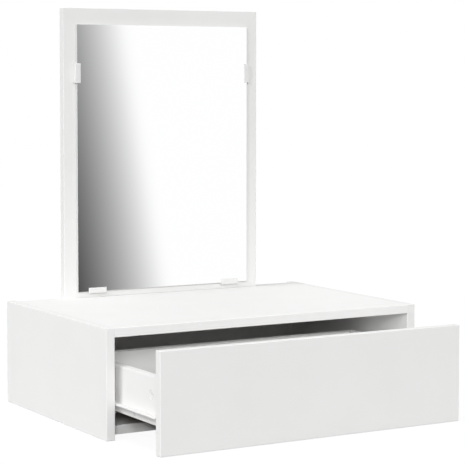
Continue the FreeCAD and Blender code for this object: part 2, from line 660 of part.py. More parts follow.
upper = f"{channel_height} - runner_gauge"
channel = folded(
    "left_cabinet_runner", (f"-{inner_half}", channel_y, channel_z), channel_floor, channel_height,
    [("0", "0"), (channel_floor, "0"), (channel_floor, "runner_gauge"), ("runner_gauge", "runner_gauge"),
     ("runner_gauge", upper), ("lip_width", upper), ("lip_width", channel_height), ("0", channel_height)],
    [("0", "0"), ("0", channel_height)],
    [("runner_gauge", "runner_gauge"), ("runner_gauge", upper)])
stop = channel.newObject("PartDesign::AdditiveBox", "left_cabinet_runner_stop")
bind(stop, Length=f"{channel_floor} - runner_gauge", Width="runner_gauge", Height="stop_height")
place(stop, ("runner_gauge", "runner_length - runner_gauge", "runner_gauge"))
lip_start_x = f"(runner_gauge - {inner_half})"
lip_top_z = f"({channel_z} + {channel_height})"
recess("left_cabinet_runner", "over", "entry", (lip_start_x, channel_y, lip_top_z),
       (f"(lip_width - {inner_half})", f"({channel_y} + lip_entry)", lip_top_z),
       "runner_gauge + bend_radius")

rail_low_x = f"-({box_half} + {rail_flange})"
web_outer = f"{rail_flange} - runner_gauge"
rail_top = "rail_height - runner_gauge"
rail_lip_low = "rail_height - rail_lip"
folded(
    "left_drawer_runner", (rail_low_x, rail_y, rail_z), f"{rail_flange} + rail_foot", "rail_height",
    [("0", rail_lip_low), ("runner_gauge", rail_lip_low), ("runner_gauge", rail_top), (web_outer, rail_top),
     (web_outer, "0"), (f"{rail_flange} + rail_foot", "0"),
     (f"{rail_flange} + rail_foot", "runner_gauge"), (rail_flange, "runner_gauge"),
     (rail_flange, "rail_height"), ("0", "rail_height")],
    [(web_outer, "0"), (rail_flange, "rail_height"), ("0", "rail_height")],
    [("runner_gauge", rail_top), (web_outer, rail_top), (rail_flange, "runner_gauge")])

runner_screw_hole = "runner_screw_diameter + 2 * screw_play"
runner_screw_bite = "runner_screw_length - runner_gauge + screw_tip_gap"
channel_offsets = ("channel_screw_front", "channel_screw_middle", "runner_length - channel_screw_rear")
rail_offsets = ("rail_screw_front", "rail_screw_middle", "runner_length - rail_screw_rear")
channel_spots = [(f"-{inner_half}", f"({channel_y} + {offset})", screw_z) for offset in channel_offsets]
rail_spots = [(f"-{box_half}", f"({rail_y} + {offset})", screw_z) for offset in rail_offsets]
drill("left_cabinet_runner", "left", "screws", channel_spots, runner_screw_hole, "runner_gauge")
drill("left_side_panel", "right", "runner_screws", channel_spots, runner_screw_hole, runner_screw_bite)
drill("left_drawer_runner", "left", "screws", rail_spots, runner_screw_hole, rail_flange)
drill("drawer_left_side", "left", "runner_screws", rail_spots, runner_screw_hole, runner_screw_bite)

pin_hole = "pin_diameter + 2 * pin_play"
drill("left_cabinet_runner", "left", "pin", [(f"-{inner_half}", front_roller_y, front_roller_z)], pin_hole,
      "runner_gauge")
drill("left_drawer_runner", "left", "pin", [(f"-{box_half}", rear_roller_y, rear_roller_z)], pin_hole,
      rail_flange)


def roller(label, low_x, axle_y, axle_z):
    """A nylon roller on an X axis, from its lower X face."""
    body = doc.addObject("PartDesign::Body", label)
    place(body, (low_x, axle_y, axle_z))
    sketch = sketch_on(body, "YZ_Plane", "section")
    for diameter in ("roller_diameter", pin_hole):
        add_circle(sketch, "0", "0", diameter)
    run = body.newObject("PartDesign::Pad", f"{label}_run")
    run.Profile = sketch
    bind(run, Length=roller_width)
    dress(body, run, "tread", "Chamfer",
          lambda edge: edge.isClosed() and edge.Curve.Radius > value(pin_hole), Size="roller_bevel")
    subparts.append(body)


roller("left_front_roller", f"(runner_gauge + {pin_shoulder} + roller_end_gap - {inner_half})",
       front_roller_y, front_roller_z)
roller("left_rear_roller", f"-({box_half} + runner_gauge + roller_end_gap + {roller_width})", rear_roller_y,
       rear_roller_z)
for label in ("side_panel", "cabinet_runner", "drawer_runner", "front_roller", "rear_roller"):
    mirror_copy(f"right_{label}", f"left_{label}")
mirror_copy("drawer_right_side", "drawer_left_side")

channel_screw_seats = []
rail_screw_seats = []
front_pin_seats = []
rear_pin_seats = []
for way, outward in (("-", Vector(-1, 0, 0)), ("", Vector(1, 0, 0))):
    for start, depth_y, height in channel_spots:
        channel_screw_seats.append(
            (shifted((f"{way}{inner_half}", depth_y, height), -outward, "runner_gauge"), facing(outward)))
    for start, depth_y, height in rail_spots:
        rail_screw_seats.append(
            (shifted((f"{way}{box_half}", depth_y, height), outward, "runner_gauge"), facing(-outward)))
    front_pin_seats.append(((f"{way}{inner_half}", front_roller_y, front_roller_z), facing(-outward)))
    rear_pin_seats.append(((f"{way}{box_half}", rear_roller_y, rear_roller_z), facing(outward)))

for unit, seats in (("cabinet", channel_screw_seats), ("drawer", rail_screw_seats)):
    runner_screw = screw(f"{unit}_runner_screw", "runner_screw_diameter", "runner_screw_length",
                         "runner_screw_head_diameter", "runner_screw_head")
    fill(f"{unit}_runner_screws", runner_screw, seats)
rear_shank = f"(runner_gauge + 2 * roller_end_gap + {roller_width})"
front_shank = f"({rear_shank} + {pin_shoulder})"
front_pin = turned("front_roller_pin", ("pin_diameter", "0", front_shank),
                   ("pin_head_diameter", "runner_gauge", pin_shoulder),
                   ("pin_head_diameter", front_shank, "pin_head"))
rear_pin = turned("rear_roller_pin", ("pin_diameter", "0", rear_shank),
                  ("pin_head_diameter", rear_shank, "pin_head"))
fill("front_roller_pins", front_pin, front_pin_seats)
fill("rear_roller_pins", rear_pin, rear_pin_seats)

bolt_length = "board - bolt_floor + cam_distance"
dowel_length = "board - dowel_floor + dowel_edge_depth"
for unit, thickness in (("cabinet", "board"), ("drawer", "drawer_board")):
    fill(f"{unit}_cam_locks", cam_lock(f"{unit}_cam_lock", thickness), cams[unit])
    fill(f"{unit}_cam_bolts", turned(f"{unit}_cam_bolt", ("bolt_diameter", "0", bolt_length)), bolts[unit])
    fill(f"{unit}_dowels", turned(f"{unit}_dowel", ("dowel_diameter", "0", dowel_length)), dowels[unit])

doc.recompute()

for thing in doc.Objects:
    if {"Invalid", "Error"} & set(thing.State):
        raise RuntimeError(f"{thing.Label} failed: {thing.State}")
    if thing.TypeId == "PartDesign::Pocket" or thing.TypeId.startswith("PartDesign::Subtractive"):
        if thing.Shape.Volume >= thing.BaseFeature.Shape.Volume:
            raise RuntimeError(f"{thing.Label} cuts nothing")
for piece in subparts:
    if piece.Shape.isNull() or not piece.Shape.isValid():
        raise RuntimeError(f"{piece.Label} has no valid shape")

os.makedirs("parts", exist_ok=True)
for piece in subparts:
    piece.Shape.exportStep(f"parts/{piece.Label}.step")
    box = piece.Shape.BoundBox
    print(f"{piece.Label}: {len(piece.Shape.Solids)} solids,",
          f"x {box.XMin:.2f} to {box.XMax:.2f},",
          f"y {box.YMin:.2f} to {box.YMax:.2f},",
          f"z {box.ZMin:.2f} to {box.ZMax:.2f}")
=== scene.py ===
# %% [markdown]
# # A wall-hung dressing table
#
# The object is a shallow cabinet of white coated board with one drawer, and a mirror that stands on it.
# Its boards, runners and fittings are already modelled at their real size, so this lesson is about looks:
# the camera, the light, a finish for each material, and the small turned pieces whose drives show.
# Everything is in metres, with +X to the right, +Y to the wall and +Z up.

import json
import math

import bmesh
import bpy
from mathutils import Matrix, Vector

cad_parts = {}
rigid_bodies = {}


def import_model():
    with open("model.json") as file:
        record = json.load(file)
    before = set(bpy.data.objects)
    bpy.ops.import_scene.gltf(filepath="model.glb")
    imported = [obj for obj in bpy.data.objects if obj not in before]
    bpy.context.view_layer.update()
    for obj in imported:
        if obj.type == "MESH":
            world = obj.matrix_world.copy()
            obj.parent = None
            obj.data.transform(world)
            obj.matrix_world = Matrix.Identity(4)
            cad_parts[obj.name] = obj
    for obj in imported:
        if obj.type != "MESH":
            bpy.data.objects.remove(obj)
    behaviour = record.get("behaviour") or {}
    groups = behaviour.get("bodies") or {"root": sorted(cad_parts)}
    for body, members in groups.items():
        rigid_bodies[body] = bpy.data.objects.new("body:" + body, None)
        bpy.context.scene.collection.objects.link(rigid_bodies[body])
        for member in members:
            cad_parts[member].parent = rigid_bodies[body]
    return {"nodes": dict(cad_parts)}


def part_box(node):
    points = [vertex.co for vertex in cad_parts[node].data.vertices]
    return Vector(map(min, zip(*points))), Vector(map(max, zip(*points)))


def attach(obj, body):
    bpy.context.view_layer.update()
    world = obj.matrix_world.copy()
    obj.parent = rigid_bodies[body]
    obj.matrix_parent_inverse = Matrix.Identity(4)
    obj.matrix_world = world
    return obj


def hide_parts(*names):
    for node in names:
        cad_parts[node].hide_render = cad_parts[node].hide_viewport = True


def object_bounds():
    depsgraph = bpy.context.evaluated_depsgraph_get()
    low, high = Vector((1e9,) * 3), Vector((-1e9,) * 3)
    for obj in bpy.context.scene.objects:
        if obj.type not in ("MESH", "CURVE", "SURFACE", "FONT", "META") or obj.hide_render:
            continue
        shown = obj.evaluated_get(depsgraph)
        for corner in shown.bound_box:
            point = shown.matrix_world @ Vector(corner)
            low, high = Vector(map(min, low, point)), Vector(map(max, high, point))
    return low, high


MM = 0.001
scene = bpy.context.scene
for start_object in list(scene.objects):
    bpy.data.objects.remove(start_object)

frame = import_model()
cad_low, cad_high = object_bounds()
nodes = frame["nodes"]
print(len(nodes), "pieces, from", tuple(cad_low), "to", tuple(cad_high))

# %% [markdown]
# ## Sums on sockets
#
# Shaders are easier to read as sums than as wires. A `Wire` holds one output socket, and adding, taking
# away, multiplying or dividing wires puts the Math node in place. The reflected forms make `1 - mask` work
# too. Every other kind of node comes from the one method `node`: first its settings, then its sockets.

# %% A wire that takes part in sums
MIX_FACTOR = 0
MIX_FIRST_COLOUR = 6
MIX_SECOND_COLOUR = 7
MIXED_COLOUR = 2


class Wire:
    """An output socket of a node tree that can be used in Python sums."""

    def __init__(self, tree, socket=None):
        self.tree = tree
        self.socket = socket

    def node(self, kind, settings=None, inputs=None, output=0):
        """Add a node, set it up, fill or link its sockets, and return one of its outputs."""
        made = self.tree.nodes.new(kind)
        for name, setting in (settings or {}).items():
            if name == "stops":
                place_stops(made.color_ramp, setting)
            else:
                setattr(made, name, setting)
        for name, given in (inputs or {}).items():
            feed(made.inputs[name], given)
        return Wire(self.tree, made.outputs[output] if made.outputs else None)

    def math(self, operation, *given):
        return self.node("ShaderNodeMath", {"operation": operation}, dict(enumerate(given)))

    def __add__(self, other):
        return self.math("ADD", self, other)

    def __radd__(self, other):
        return self.math("ADD", other, self)

    def __sub__(self, other):
        return self.math("SUBTRACT", self, other)

    def __rsub__(self, other):
        return self.math("SUBTRACT", other, self)

    def __mul__(self, other):
        return self.math("MULTIPLY", self, other)

    def __rmul__(self, other):
        return self.math("MULTIPLY", other, self)

    def __truediv__(self, other):
        return self.math("DIVIDE", self, other)

    def __rtruediv__(self, other):
        return self.math("DIVIDE", other, self)

    def __abs__(self):
        return self.math("ABSOLUTE", self)

    def __gt__(self, other):
        return self.math("GREATER_THAN", self, other)

    def __lt__(self, other):
        return self.math("LESS_THAN", self, other)

    def least(self, other):
        return self.math("MINIMUM", self, other)

    def most(self, other):
        return self.math("MAXIMUM", self, other)

    def clamped(self):
        return self.most(0.0).least(1.0)

    def mixed(self, other, factor):
        """This colour, with the other one over it by a factor."""
        colours = {MIX_FACTOR: factor, MIX_FIRST_COLOUR: self, MIX_SECOND_COLOUR: other}
        return self.node("ShaderNodeMix", {"data_type": "RGBA"}, colours, MIXED_COLOUR)

    def parts(self):
        """The three numbers of a vector."""
        split = self.node("ShaderNodeSeparateXYZ", inputs={0: self})
        return [Wire(self.tree, socket) for socket in split.socket.node.outputs]


def place_stops(ramp, stops):
    """Set the two stops of a colour ramp, each a place from 0 to 1 and a colour."""
    for element, (position, colour) in zip(ramp.elements, stops):
        element.position = position
        element.color = (*colour, 1.0)


def feed(socket, given):
    """Link a wire to a socket, or write a number or a colour on it."""
    if isinstance(given, Wire):
        socket.id_data.links.new(given.socket, socket)
    elif socket.type == "RGBA":
        socket.default_value = (*given, 1.0)
    else:
        socket.default_value = given


print("wires are ready for sums")

# %% [markdown]
# ## Words for finishes
#
# Every finish below is said in the same few words: noise of a real size, a blend of two tones along it, and a
# bump of a real depth. Image textures would need unwrapped meshes, and these need none: they are placed by
# the object's own coordinates, which are metres here and stay with a piece when it moves.

# %% Noise, tones and relief


def dress(shader, **sockets):
    """Feed a shader's sockets, whose names have _ for a space."""
    for socket, given in sockets.items():
        feed(shader.inputs[socket.replace("_", " ")], given)


def new_finish(name, **constants):
    """A material with its constant sockets set, the place on the piece in metres, and the shader."""
    material = bpy.data.materials.new(name)
    material.use_nodes = True
    shader = material.node_tree.nodes["Principled BSDF"]
    dress(shader, **constants)
    place = Wire(material.node_tree).node("ShaderNodeTexCoord", output="Object")
    return material, place, shader


def facing(place):
    """The three numbers of the direction that a surface looks in."""
    return place.node("ShaderNodeTexCoord", output="Normal").parts()


def speckle(place, size, detail=2.0):
    """Soft noise from 0 to 1 whose features are about `size` metres across."""
    return place.node("ShaderNodeTexNoise", inputs={"Vector": place, "Scale": 1.0 / size, "Detail": detail})


def two_tones(noise, first, second, all_first=0.3, all_second=0.7):
    """A blend of two colours, between the values of the noise where it is all one or all the other."""
    stops = ((all_first, first), (all_second, second))
    return noise.node("ShaderNodeValToRGB", {"stops": stops}, {0: noise})


def relief(height, depth):
    """Turn a height from 0 to 1 into a bump of a real depth in metres."""
    return height.node("ShaderNodeBump", inputs={"Strength": 1.0, "Distance": depth, "Height": height})


def wear(material, *node_names):
    """Give built pieces their finish."""
    for node_name in node_names:
        for slot in nodes[node_name].material_slots:
            slot.material = material
    print(material.name, "on", *node_names)


print("noise, tones and relief are ready")

# %% [markdown]
# ## Camera
#
# The photograph was taken with a long lens from the front left, a little above the table, and its upright
# edges stay upright. A tilt of a few degrees with a small vertical shift keeps them so to within a pixel or
# two, and leaves the object near the middle of the frame when the camera goes round to the other sides.

# %% Set the camera
LENS_MM = 135.215
SENSOR_MM = 36.0
CAMERA_PLACE = (-1.5061, -2.5913, 0.5750)
TURN_TO_RIGHT = math.radians(30.226)
TILT_DOWN = math.radians(3.532)
FRAME_SHIFT = -0.1

camera_data = bpy.data.cameras.new("camera")
camera_data.lens = LENS_MM
camera_data.sensor_width = SENSOR_MM
camera_data.shift_y = FRAME_SHIFT
camera = bpy.data.objects.new("camera", camera_data)
camera.location = CAMERA_PLACE
camera.rotation_euler = (math.pi / 2 - TILT_DOWN, 0.0, -TURN_TO_RIGHT)
scene.collection.objects.link(camera)
scene.camera = camera
print("camera", round((camera.location - (cad_low + cad_high) / 2).length, 2), "m from the table")

# %% [markdown]
# ## Studio
#
# The table stands in a white studio: a camera ray that misses the object sees white, and every other ray
# finds an even light. What the mirror shows is the room in front of it, a white wall with a row of tall grey
# flags, each of which ends in a soft edge that leans a little. On a flat wall they are evenly spaced by the
# slope of a ray, its way across over its way forward. A row is better than one flag, because the mirror then
# shows some grey from any side and never looks like a bare frame. The edges fade evenly to the eye, and a
# power turns that into light.

# %% Surround the table
FLAG_EVERY = 0.21
FLAG_EDGE = 0.509
FLAG_LEAN = 0.177
FLAG_FADE = 0.066
FLAG_KNEE = 0.15
FLAG_WIDTH = 0.118
FLAG_FAR_FADE = 0.05
FLAG_GREY = 0.30
WHITE_BESIDE = 0.04
EYE_CURVE = 2.2

world = bpy.data.worlds.new("studio")
scene.world = world
world.use_nodes = True
world.node_tree.nodes.clear()
start = Wire(world.node_tree)
way_x, way_y, way_z = start.node("ShaderNodeTexCoord", output="Generated").parts()
per_forward = 1.0 / (0.0 - way_y)
from_edge = way_x * per_forward + FLAG_LEAN * way_z * per_forward - FLAG_EDGE
from_white = WHITE_BESIDE - from_edge
before_edge = start.math("FLOORED_MODULO", from_white, FLAG_EVERY) - WHITE_BESIDE
ramp = (before_edge / FLAG_FADE).least((FLAG_WIDTH - before_edge) / FLAG_FAR_FADE)
flag = start.math("SMOOTH_MAX", ramp, 0.0, FLAG_KNEE).clamped()
room = start.math("POWER", 1.0 - flag * (1.0 - FLAG_GREY), EYE_CURVE)
print("studio with a grey flag every", FLAG_EVERY, "m on a wall 1 m away")

# %% [markdown]
# ## Who sees what
#
# Light Path tells the rays apart. Straight from the camera the studio is plain white, in a mirror it is the
# room with its flags, and for all other rays it is a lamp of one even level. So the white background costs no
# light on the object, which would bleach it.

# %% Share the studio out among the rays
AMBIENT = 0.50

ray = start.node("ShaderNodeLightPath").socket.node.outputs
seen_straight = Wire(world.node_tree, ray["Is Camera Ray"])
seen_glossy = Wire(world.node_tree, ray["Is Glossy Ray"])
seen_through = Wire(world.node_tree, ray["Is Transmission Ray"])
seen_mirrored = seen_glossy.most(seen_through)
even_light = (1.0 - seen_straight.most(seen_mirrored)) * AMBIENT
brightness = seen_straight.most(seen_mirrored * room).most(even_light)
background = start.node("ShaderNodeBackground", inputs={"Color": (1.0, 1.0, 1.0), "Strength": brightness})
start.node("ShaderNodeOutputWorld", inputs={"Surface": background})
print("even light of", AMBIENT)

# %% [markdown]
# ## Floor
#
# The floor is a plain sheet of pale paper. To the camera it glows white apart from a faint share of matt
# paper, which still takes the object's shadow, and for light that bounces it is matt all over. The glow is
# worked out from how bright the lamps make matt paper, so that the two together come out just past white and
# only the shadow shows.

# %% Lay the floor
FLOOR_REACH = 6.0
FLOOR_TONE = 0.35
FLOOR_LIT = 0.38
FLOOR_SHADE = 0.20
FLOOR_WHITE = 1.01
FLOOR_GLOW = (FLOOR_WHITE - FLOOR_SHADE * FLOOR_LIT) / (1.0 - FLOOR_SHADE)

floor_mesh = bpy.data.meshes.new("floor")
corners = [(x * FLOOR_REACH, y * FLOOR_REACH, cad_low.z) for x, y in ((-1, -1), (1, -1), (1, 1), (-1, 1))]
floor_mesh.from_pydata(corners, [], [(0, 1, 2, 3)])
floor = bpy.data.objects.new("floor", floor_mesh)
scene.collection.objects.link(floor)
floor.visible_glossy = False

floor_paper = bpy.data.materials.new("floor_paper")
floor_paper.use_nodes = True
floor_paper.node_tree.nodes.clear()
start = Wire(floor_paper.node_tree)
matt = start.node("ShaderNodeBsdfDiffuse", inputs={"Color": (FLOOR_TONE, FLOOR_TONE, FLOOR_TONE)})
glow = start.node("ShaderNodeEmission", inputs={"Color": (1.0, 1.0, 1.0), "Strength": FLOOR_GLOW})
glowing = start.node("ShaderNodeLightPath", output="Is Camera Ray") * (1.0 - FLOOR_SHADE)
paper = start.node("ShaderNodeMixShader", inputs={0: glowing, 1: matt, 2: glow})
start.node("ShaderNodeOutputMaterial", inputs={"Surface": paper})
floor_mesh.materials.append(floor_paper)
print("floor", 2 * FLOOR_REACH, "m square")

# %% [markdown]
# ## Light
#
# Four soft lamps stand far off, so their light is even over the whole table. The main one is ahead and to
# the left, low enough to reach the drawer's back and too high to reach the back of the cabinet. A high one
# makes the top the brightest face, and one square to the left side brings out the lip of the drawer's rail.
# A small one between them draws the lit wedge on the right wall inside, and the strip of shade behind the
# left panel. A distant lamp is a sun lamp with a wide disc. Each line gives degrees to the left of straight
# ahead, degrees above the floor, the disc's degrees across, and the strength.

# %% Hang the lamps
LAMPS = (
    ("main_lamp", 27.0, 18.0, 14.0, 1.41),
    ("high_lamp", 84.0, 72.0, 10.0, 0.90),
    ("left_lamp", 90.0, 40.0, 10.0, 0.67),
    ("side_lamp", 57.0, 24.0, 3.0, 0.50),
)
LAMP_DISTANCE = 4.0

for name, to_left, above, spread, strength in LAMPS:
    turn = math.radians(to_left)
    rise = math.radians(above)
    come_from = Vector((-math.sin(turn) * math.cos(rise), -math.cos(turn) * math.cos(rise), math.sin(rise)))
    lamp_data = bpy.data.lights.new(name, "SUN")
    lamp_data.angle = math.radians(spread)
    lamp_data.energy = strength
    lamp = bpy.data.objects.new(name, lamp_data)
    lamp.location = come_from * LAMP_DISTANCE
    lamp.rotation_euler = come_from.to_track_quat("Z", "Y").to_euler()
    lamp.visible_glossy = False
    scene.collection.objects.link(lamp)
print(len(LAMPS), "lamps")

# %% [markdown]
# ## White board
#
# The boards are particle board under a white melamine face, with a strip of plastic edging ironed on to
# their narrow sides. A flat white would look like paper, so the finish tells these apart by place: the face
# has a fine pearl grain and a very slight cloud of tone, the edging is smoother and a touch darker, a hair
# line runs round the face where the edging ends, and anything cut into the board shows its brown core.
# First come the paints, the sizes and two ways to measure a box.

# %% Paints and sizes of the board
FACE_WHITE = (0.856, 0.856, 0.848)
FACE_SHADE = (0.840, 0.840, 0.832)
EDGING_WHITE = (0.838, 0.838, 0.831)
HAIR_LINE = (0.70, 0.70, 0.69)
CORE_TAN = (0.50, 0.36, 0.22)
CORE_DARK = (0.27, 0.17, 0.09)
EDGING = 0.9 * MM
HAIR = 0.10 * MM
PEARL = 0.9 * MM
PEARL_DETAIL = 3.0
PEARL_DEPTH = 0.012 * MM
FLAKE = 2.5 * MM
FLAKE_DETAIL = 4.0
CLOUD = 90 * MM


def from_sides(place, low, high):
    """How far a point lies inside each pair of a box's sides."""
    return [
        (top - bottom) / 2 - abs(along - (top + bottom) / 2)
        for along, bottom, top in zip(place.parts(), low, high)
    ]


def middle_of(*node_names):
    """The middle of the box round some built pieces."""
    lows, highs = zip(*[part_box(node_name) for node_name in node_names])
    return [(min(low[axis] for low in lows) + max(high[axis] for high in highs)) / 2 for axis in range(3)]


cabinet_middle = middle_of("left_side_panel", "right_side_panel")
drawer_middle = middle_of("drawer_left_side", "drawer_right_side")
mirror_middle = middle_of("mirror_board")
print("middles of the cabinet", cabinet_middle, "the drawer", drawer_middle, "the mirror", mirror_middle)

# %% [markdown]
# ## Sheen of the board
#
# The satin sheen is a coat over a matt white, and only where a face looks out from the middle of its box: in
# the closed spaces a glossy ray would bring in light from the studio that the real boards never see there.
# Each board gets its own copy of the finish, because the distances are measured from its own sides. With it
# comes a painted lightness: the top is painted a little whiter than the rest and the mirror's board a little
# greyer, as painted light that stands in for how brightly each is lit.

# %% Finish the boards
HALF_TURNED = 0.5
MATT = 0.0
SHEEN_ROUGHNESS = 0.42
SHEEN_IOR = 1.33
FACE_ROUGH = 0.40
PEARL_ROUGHER = 0.10
EDGING_SMOOTHER = 0.07
CORE_ROUGHER = 0.40
EDGING_FLATTER = 0.75
CORE_DEEPER = 6.0
# Each board's first number is painted light: the top's, above 1, paints it whiter, and the mirror board's,
# below 1, paints it greyer, for how brightly each is lit.
BOARDS = {
    "left_side_panel": (1.0, cabinet_middle),
    "right_side_panel": (1.0, cabinet_middle),
    "top_panel": (1.03, cabinet_middle),
    "bottom_panel": (1.0, cabinet_middle),
    "back_panel": (1.0, cabinet_middle),
    "mirror_board": (0.955, mirror_middle),
    "drawer_front": (1.0, drawer_middle),
    "drawer_left_side": (1.0, drawer_middle),
    "drawer_right_side": (1.0, drawer_middle),
    "drawer_back": (1.0, drawer_middle),
}


def white_board(node_name, painted_lightness, middle):
    """One board's finish: whites painted to its lit brightness, and a sheen where it looks out from a middle.
    """
    low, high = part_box(node_name)
    thin = min(range(3), key=lambda axis: high[axis] - low[axis])
    material, place, shader = new_finish(f"white_board_{node_name}", Specular_IOR_Level=MATT,
                                         Coat_Roughness=SHEEN_ROUGHNESS, Coat_IOR=SHEEN_IOR)
    ways = facing(place)
    depths = from_sides(place, low, high)
    across, deep, up = [(along - centre) * way for along, centre, way in zip(place.parts(), middle, ways)]
    looks_out = across + deep + up > 0.0
    wide = [depth for axis, depth in enumerate(depths) if axis != thin]
    from_edge = wide[0].least(wide[1])
    on_edging = abs(ways[thin]) < HALF_TURNED
    in_core = from_edge.least(depths[thin]) > EDGING
    on_hair = (abs(from_edge - EDGING) < HAIR / 2) * (1.0 - on_edging)

    pearl = speckle(place, PEARL, PEARL_DETAIL)
    flake = speckle(place, FLAKE, FLAKE_DETAIL)
    # Every paint is scaled by the board's painted lightness, which is painted light.
    paints = (FACE_SHADE, FACE_WHITE, EDGING_WHITE)
    shade, white, edging = [[part * painted_lightness for part in paint] for paint in paints]
    face = two_tones(speckle(place, CLOUD), shade, white)
    core = two_tones(flake, CORE_DARK, CORE_TAN, all_first=0.35, all_second=0.65)
    rough = FACE_ROUGH + PEARL_ROUGHER * pearl - EDGING_SMOOTHER * on_edging + CORE_ROUGHER * in_core
    height = pearl * (1.0 - EDGING_FLATTER * on_edging) + CORE_DEEPER * flake * in_core
    dress(
        shader,
        Base_Color=face.mixed(edging, on_edging).mixed(HAIR_LINE, on_hair).mixed(core, in_core),
        Roughness=rough.clamped(),
        Coat_Weight=looks_out * (1.0 - in_core),
        Normal=relief(height, PEARL_DEPTH),
    )
    return material


for board, (painted_lightness, middle) in BOARDS.items():
    wear(white_board(board, painted_lightness, middle), board)

# %% [markdown]
# ## Drawer bottom
#
# The drawer's bottom is a thin sheet of hardboard, lacquered white above and left brown and fibrous below.
# One sheet needs no second material for this: the two sides are told apart by which way they face, and the
# lacquer fills most of the fibre's relief.

# %% Finish the drawer bottom
LACQUER = (0.83, 0.83, 0.815)
FIBRE_TAN = (0.26, 0.17, 0.10)
FIBRE_DARK = (0.15, 0.095, 0.055)
FIBRE = 1.2 * MM
FIBRE_DETAIL = 5.0
FIBRE_DEPTH = 0.05 * MM
BARE_ROUGH = 0.80
FIBRE_ROUGHER = 0.08
LACQUER_SMOOTHER = 0.40
LACQUER_FILLS = 0.8

material, place, shader = new_finish("white_hardboard", Specular_IOR_Level=MATT)
upward = facing(place)[2] > HALF_TURNED
fibre = speckle(place, FIBRE, FIBRE_DETAIL)
bare = two_tones(fibre, FIBRE_DARK, FIBRE_TAN, all_first=0.35, all_second=0.65)
dress(
    shader,
    Base_Color=bare.mixed(LACQUER, upward),
    Roughness=BARE_ROUGH - LACQUER_SMOOTHER * upward + FIBRE_ROUGHER * fibre,
    Normal=relief(fibre * (1.0 - LACQUER_FILLS * upward), FIBRE_DEPTH),
)
wear(material, "drawer_bottom")

# %% [markdown]
# ## Mirror
#
# A mirror is clear glass with silver and paint on its back. Modelled as such it would need two reflections,
# and the one in the glass is too weak to see, so the front is a metal with almost no roughness and a trace
# of polishing haze. The ground edges are a pale neutral grey, and the back is grey paint. The table itself is
# kept out of reflected rays, because the photograph's mirror shows nothing but the studio.

# %% Finish the mirror
SILVER = (0.990, 0.995, 0.992)
GLASS_EDGE = (0.60, 0.61, 0.60)
GLASS_EDGE_LIGHT = (0.64, 0.65, 0.64)
BACK_PAINT = (0.30, 0.32, 0.34)
HAZE = 60 * MM
HAZE_ROUGH = 0.012
GRIND = 0.5 * MM
GRIND_ROUGH = 0.35
GRIND_DEPTH = 0.02 * MM
SQUARE_ON = 0.9

material, place, shader = new_finish("silvered_glass")
to_wall = facing(place)[1]
on_front = to_wall < -SQUARE_ON
on_back = to_wall > SQUARE_ON
grind = speckle(place, GRIND)
edge = two_tones(grind, GLASS_EDGE, GLASS_EDGE_LIGHT, all_second=0.8)
dress(
    shader,
    Base_Color=edge.mixed(SILVER, on_front).mixed(BACK_PAINT, on_back),
    Metallic=on_front,
    Roughness=HAZE_ROUGH * speckle(place, HAZE) + GRIND_ROUGH * (1.0 - on_front),
    Normal=relief(grind * (1.0 - on_front), GRIND_DEPTH),
)
wear(material, "mirror_glass")
for node in nodes.values():
    node.visible_glossy = False

# %% [markdown]
# ## Mirror clips
#
# The clips are moulded in white plastic. A mould is spark-eroded, so its faces have a texture too fine to see
# as such, which breaks up the gloss. Noise of about a third of a millimetre does that without any mesh.

# %% Finish the clips
CLIP_SHADE = (0.76, 0.76, 0.755)
CLIP_WHITE = (0.79, 0.79, 0.785)
CLIP_CLOUD = 8 * MM
CLIP_ROUGH = 0.28
SPARK = 0.35 * MM
SPARK_ROUGHER = 0.10
SPARK_DEPTH = 0.01 * MM

material, place, shader = new_finish("clip_plastic")
spark = speckle(place, SPARK)
dress(
    shader,
    Base_Color=two_tones(speckle(place, CLIP_CLOUD), CLIP_SHADE, CLIP_WHITE),
    Roughness=CLIP_ROUGH + SPARK_ROUGHER * spark,
    Normal=relief(spark, SPARK_DEPTH),
)
wear(material, "left_mirror_clip", "right_mirror_clip", "lower_left_mirror_clip", "lower_right_mirror_clip")

# %% [markdown]
# ## Runners
#
# The runners are folded from sheet steel with a white powder coat, which sets with an orange peel. Where the
# sheet was cut across at its ends the bare metal shows. The ends look along Y, so the way a face looks is
# enough to tell them apart, and the cut needs no faces picked by hand.

# %% Finish the runners
COAT_SHADE = (0.77, 0.77, 0.76)
COAT_WHITE = (0.80, 0.80, 0.79)
COAT_CLOUD = 25 * MM
COAT_ROUGH = 0.33
CUT_STEEL = (0.55, 0.55, 0.54)
PEEL = 1.6 * MM
PEEL_DETAIL = 1.0
PEEL_ROUGHER = 0.08
PEEL_DEPTH = 0.03 * MM

material, place, shader = new_finish("white_steel")
on_cut = abs(facing(place)[1]) > SQUARE_ON
peel = speckle(place, PEEL, PEEL_DETAIL)
coat = two_tones(speckle(place, COAT_CLOUD), COAT_SHADE, COAT_WHITE)
dress(
    shader,
    Base_Color=coat.mixed(CUT_STEEL, on_cut),
    Metallic=on_cut,
    Roughness=COAT_ROUGH + PEEL_ROUGHER * peel,
    Normal=relief(peel, PEEL_DEPTH),
)
wear(material, "left_cabinet_runner", "right_cabinet_runner", "left_drawer_runner", "right_drawer_runner")

# %% [markdown]
# ## Rollers
#
# The rollers are moulded nylon, milky and a little waxy. Light goes a short way into it, which is what the
# shader's subsurface part is for: two millimetres are enough for a wheel of this size.

# %% Finish the rollers
NYLON_SHADE = (0.80, 0.79, 0.75)
NYLON_WHITE = (0.85, 0.84, 0.81)
NYLON_ROUGH = 0.42
MILK = 3 * MM
MILK_ROUGHER = 0.12
MILK_DEPTH = 0.02 * MM

material, place, shader = new_finish("roller_nylon", Subsurface_Weight=0.15, Subsurface_Scale=2 * MM)
milk = speckle(place, MILK)
dress(
    shader,
    Base_Color=two_tones(milk, NYLON_SHADE, NYLON_WHITE),
    Roughness=NYLON_ROUGH + MILK_ROUGHER * milk,
    Normal=relief(milk, MILK_DEPTH),
)
wear(material, "left_front_roller", "right_front_roller", "left_rear_roller", "right_rear_roller")

